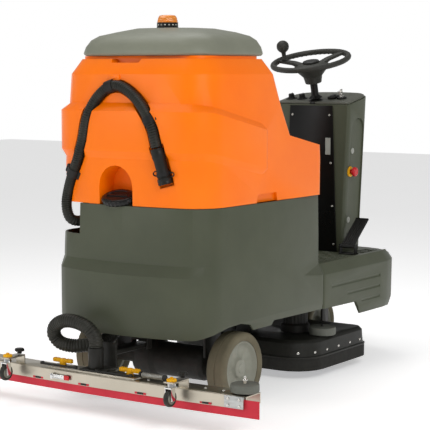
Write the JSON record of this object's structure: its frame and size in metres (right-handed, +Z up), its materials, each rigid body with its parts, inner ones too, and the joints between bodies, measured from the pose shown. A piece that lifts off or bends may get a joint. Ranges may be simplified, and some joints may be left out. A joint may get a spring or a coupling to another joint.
{
  "type": "ride-on floor scrubber",
  "caption": "Ride-on floor scrubber-dryer with a recovery tank, seat, steering console, drive wheels, brush deck, drain hose and a raised rear squeegee.",
  "frame": {"origin": "on the floor under the middle of the machine's box", "axes": "+Y is the direction of travel, +X the driver's right, +Z up"},
  "size_m": [1.324, 1.766, 1.384],
  "materials": {
    "orange_plastic": "semi-gloss moulded, smooth",
    "grey_plastic": "satin moulded, fine grain",
    "lid_plastic": "satin moulded",
    "black_plastic": "satin",
    "black_rubber": "matte",
    "grey_tyre": "matte, non-marking",
    "rim_plastic": "satin",
    "red_rubber": "satin",
    "brushed_steel": "brushed along its length",
    "chrome": "polished",
    "frame_paint": "satin black",
    "yellow_plastic": "glossy",
    "amber_lens": "clear, ribbed",
    "red_plastic": "glossy",
    "seat_vinyl": "matte grained vinyl",
    "brush_bristle": "bristle filaments",
    "battery_case": "satin"
  },
  "bodies": {
    "chassis": {"chassis_pan": "frame_paint", "lower_body": "grey_plastic", "front_deck": "grey_plastic", "battery_bank": "battery_case", "transaxle": "black_plastic", "console_shell": "grey_plastic", "console_panel": "black_plastic", "console_dash": "black_plastic", "steering_column": "black_plastic"},
    "tank": {"recovery_tank": "orange_plastic", "drain_hose": "black_rubber", "drain_wand": "black_plastic"},
    "lid": {"tank_lid": "lid_plastic", "beacon_base": "black_plastic", "beacon_lens": "amber_lens"},
    "seat": {"seat_pan": "black_plastic", "seat_cushion": "seat_vinyl", "seat_back": "seat_vinyl"},
    "cap": {"filler_cap": "black_plastic"},
    "rear_wheel_left": {"rear_tyre_left": "grey_tyre", "rear_rim_left": "rim_plastic"},
    "rear_wheel_right": {"rear_tyre_right": "grey_tyre", "rear_rim_right": "rim_plastic"},
    "fork": {"front_fork": "frame_paint"},
    "front_wheel": {"front_tyre": "grey_tyre", "front_rim": "rim_plastic"},
    "steering": {"steering_wheel": "black_plastic"},
    "spinner": {"spinner_knob": "black_plastic"},
    "squeegee_carrier": {"squeegee_holder": "frame_paint", "suction_cuff": "black_plastic", "vacuum_hose": "black_rubber"},
    "squeegee_link": {"lift_link": "frame_paint"},
    "squeegee": {"squeegee_body": "brushed_steel", "rear_blade": "red_rubber", "front_blade": "red_rubber", "blade_strap": "brushed_steel"},
    "latch": {"strap_latch": "chrome"},
    "deck": {"brush_deck": "black_plastic", "deck_skirt": "black_rubber", "brush_motor_left": "black_plastic", "brush_motor_right": "black_plastic"},
    "deck_arm": {"deck_link": "frame_paint"},
    "stop": {"stop_button": "red_plastic"},
    "key": {"key_switch": "black_plastic"},
    "knob_left": {"wing_knob_left": "yellow_plastic"},
    "caster_left": {"caster_fork_left": "chrome"},
    "caster_roller_left": {"caster_wheel_left": "black_rubber"},
    "bumper_left": {"end_roller_left": "grey_tyre"},
    "disc_left": {"brush_left": "brush_bristle"},
    "guide_left": {"deck_roller_left": "grey_tyre"},
    "dial_left": {"dial_left": "black_plastic"},
    "knob_right": {"wing_knob_right": "yellow_plastic"},
    "caster_right": {"caster_fork_right": "chrome"},
    "caster_roller_right": {"caster_wheel_right": "black_rubber"},
    "bumper_right": {"end_roller_right": "grey_tyre"},
    "disc_right": {"brush_right": "brush_bristle"},
    "guide_right": {"deck_roller_right": "grey_tyre"},
    "dial_right": {"dial_right": "black_plastic"},
    "pedal_accelerator": {"accelerator_pedal": "black_plastic"},
    "pedal_brake": {"brake_pedal": "black_plastic"}
  },
  "joints": [
    {"name": "steering_turn", "type": "hinge", "parent": "chassis", "child": "steering", "pos_m": [0, 0.633, 1.225], "axis": [0, -0.2588, 0.9659], "range_deg": [-270, 270]},
    {"name": "spinner_turn", "type": "hinge", "parent": "steering", "child": "spinner", "pos_m": [-0.128, 0.633, 1.225], "axis": [0, -0.2588, 0.9659], "continuous": true},
    {"name": "fork_steer", "type": "hinge", "parent": "chassis", "child": "fork", "pos_m": [0, 0.683, 0.2], "axis": [0, 0, 1], "range_deg": [-70.5, 70.5]},
    {"name": "front_roll", "type": "hinge", "parent": "fork", "child": "front_wheel", "pos_m": [0, 0.683, 0.11], "axis": [1, 0, 0], "continuous": true},
    {"name": "rear_roll_left", "type": "hinge", "parent": "chassis", "child": "rear_wheel_left", "pos_m": [-0.2975, -0.377, 0.13], "axis": [1, 0, 0], "continuous": true},
    {"name": "rear_roll_right", "type": "hinge", "parent": "chassis", "child": "rear_wheel_right", "pos_m": [0.2975, -0.377, 0.13], "axis": [1, 0, 0], "continuous": true},
    {"name": "squeegee_lift", "type": "slide", "parent": "chassis", "child": "squeegee_carrier", "axis": [0, 0, -1], "range_m": [0, 0.07]},
    {"name": "squeegee_link_turn", "type": "hinge", "parent": "chassis", "child": "squeegee_link", "pos_m": [-0.033, -0.492, 0.198], "axis": [1, 0, 0], "range_deg": [0, 21.5]},
    {"name": "squeegee_swing", "type": "hinge", "parent": "squeegee_carrier", "child": "squeegee", "pos_m": [-0.033, -0.752, 0.15], "axis": [0, 0, 1], "range_deg": [-12, 12], "stiffness_Nm_per_rad": 30},
    {"name": "knob_turn_left", "type": "hinge", "parent": "squeegee", "child": "knob_left", "pos_m": [-0.183, -0.752, 0.145], "axis": [0, 0, 1], "continuous": true},
    {"name": "caster_swivel_left", "type": "hinge", "parent": "squeegee", "child": "caster_left", "pos_m": [-0.362, -0.844, 0.15], "axis": [0, 0, 1], "continuous": true},
    {"name": "caster_roll_left", "type": "hinge", "parent": "caster_left", "child": "caster_roller_left", "pos_m": [-0.362, -0.854, 0.116], "axis": [1, 0, 0], "continuous": true},
    {"name": "bumper_roll_left", "type": "hinge", "parent": "squeegee", "child": "bumper_left", "pos_m": [-0.584, -0.74379, 0.16], "axis": [0, 0, 1], "continuous": true},
    {"name": "knob_turn_right", "type": "hinge", "parent": "squeegee", "child": "knob_right", "pos_m": [0.117, -0.752, 0.145], "axis": [0, 0, 1], "continuous": true},
    {"name": "caster_swivel_right", "type": "hinge", "parent": "squeegee", "child": "caster_right", "pos_m": [0.362, -0.844, 0.15], "axis": [0, 0, 1], "continuous": true},
    {"name": "caster_roll_right", "type": "hinge", "parent": "caster_right", "child": "caster_roller_right", "pos_m": [0.362, -0.854, 0.116], "axis": [1, 0, 0], "continuous": true},
    {"name": "bumper_roll_right", "type": "hinge", "parent": "squeegee", "child": "bumper_right", "pos_m": [0.584, -0.74379, 0.16], "axis": [0, 0, 1], "continuous": true},
    {"name": "latch_open", "type": "hinge", "parent": "squeegee", "child": "latch", "pos_m": [-0.19, -0.80907, 0.118], "axis": [0, 0, -1], "range_deg": [0, 120]},
    {"name": "deck_lift", "type": "slide", "parent": "chassis", "child": "deck", "axis": [0, 0, -1], "range_m": [0, 0.029]},
    {"name": "deck_link_turn", "type": "hinge", "parent": "chassis", "child": "deck_arm", "pos_m": [0, -0.007, 0.236], "axis": [-1, 0, 0], "range_deg": [0, 10.5]},
    {"name": "brush_spin_left", "type": "hinge", "parent": "deck", "child": "disc_left", "pos_m": [-0.158, 0.373, 0.1], "axis": [0, 0, 1], "continuous": true},
    {"name": "brush_spin_right", "type": "hinge", "parent": "deck", "child": "disc_right", "pos_m": [0.158, 0.263, 0.1], "axis": [0, 0, 1], "continuous": true},
    {"name": "guide_roll_left", "type": "hinge", "parent": "deck", "child": "guide_left", "pos_m": [-0.285, 0.258, 0.16], "axis": [0, 0, 1], "continuous": true},
    {"name": "guide_roll_right", "type": "hinge", "parent": "deck", "child": "guide_right", "pos_m": [0.285, 0.258, 0.16], "axis": [0, 0, 1], "continuous": true},
    {"name": "lid_open", "type": "hinge", "parent": "tank", "child": "lid", "pos_m": [0, -0.157, 1.237], "axis": [-1, 0, 0], "range_deg": [0, 75]},
    {"name": "tank_tilt", "type": "hinge", "parent": "chassis", "child": "tank", "pos_m": [-0.342, -0.377, 0.7138], "axis": [0, -1, 0], "range_deg": [0, 20]},
    {"name": "seat_adjust", "type": "slide", "parent": "tank", "child": "seat", "axis": [0, 1, 0], "range_m": [0, 0.05]},
    {"name": "cap_open", "type": "hinge", "parent": "chassis", "child": "cap", "pos_m": [-0.0355, -0.573, 0.764], "axis": [-1, 0, 0], "range_deg": [0, 70]},
    {"name": "brake_press", "type": "hinge", "parent": "chassis", "child": "pedal_brake", "pos_m": [-0.2, 0.608, 0.461], "axis": [-1, 0, 0], "range_deg": [0, 15], "stiffness_Nm_per_rad": 3, "springref_deg": -8.59},
    {"name": "accelerator_press", "type": "hinge", "parent": "chassis", "child": "pedal_accelerator", "pos_m": [0.2, 0.608, 0.461], "axis": [-1, 0, 0], "range_deg": [0, 15], "stiffness_Nm_per_rad": 3, "springref_deg": -8.59},
    {"name": "stop_press", "type": "slide", "parent": "chassis", "child": "stop", "axis": [-1, 0, 0], "range_m": [0, 0.005], "stiffness_N_per_m": 400, "springref_m": -0.002},
    {"name": "key_turn", "type": "hinge", "parent": "chassis", "child": "key", "pos_m": [0.105, 0.713, 1.067], "axis": [0, -0.1961, 0.9806], "range_deg": [-60, 0]},
    {"name": "dial_turn_left", "type": "hinge", "parent": "chassis", "child": "dial_left", "pos_m": [-0.135, 0.703, 1.065], "axis": [0, -0.1961, 0.9806], "range_deg": [-150, 150]},
    {"name": "dial_turn_right", "type": "hinge", "parent": "chassis", "child": "dial_right", "pos_m": [-0.082, 0.703, 1.065], "axis": [0, -0.1961, 0.9806], "range_deg": [-150, 150]}
  ],
  "couplings": [
    {"joint": "fork_steer", "follows": "steering_turn", "ratio": 0.26},
    {"joint": "squeegee_link_turn", "follows": "squeegee_lift", "rad_per_m": 5.1282},
    {"joint": "deck_link_turn", "follows": "deck_lift", "rad_per_m": 6.0606}
  ]
}
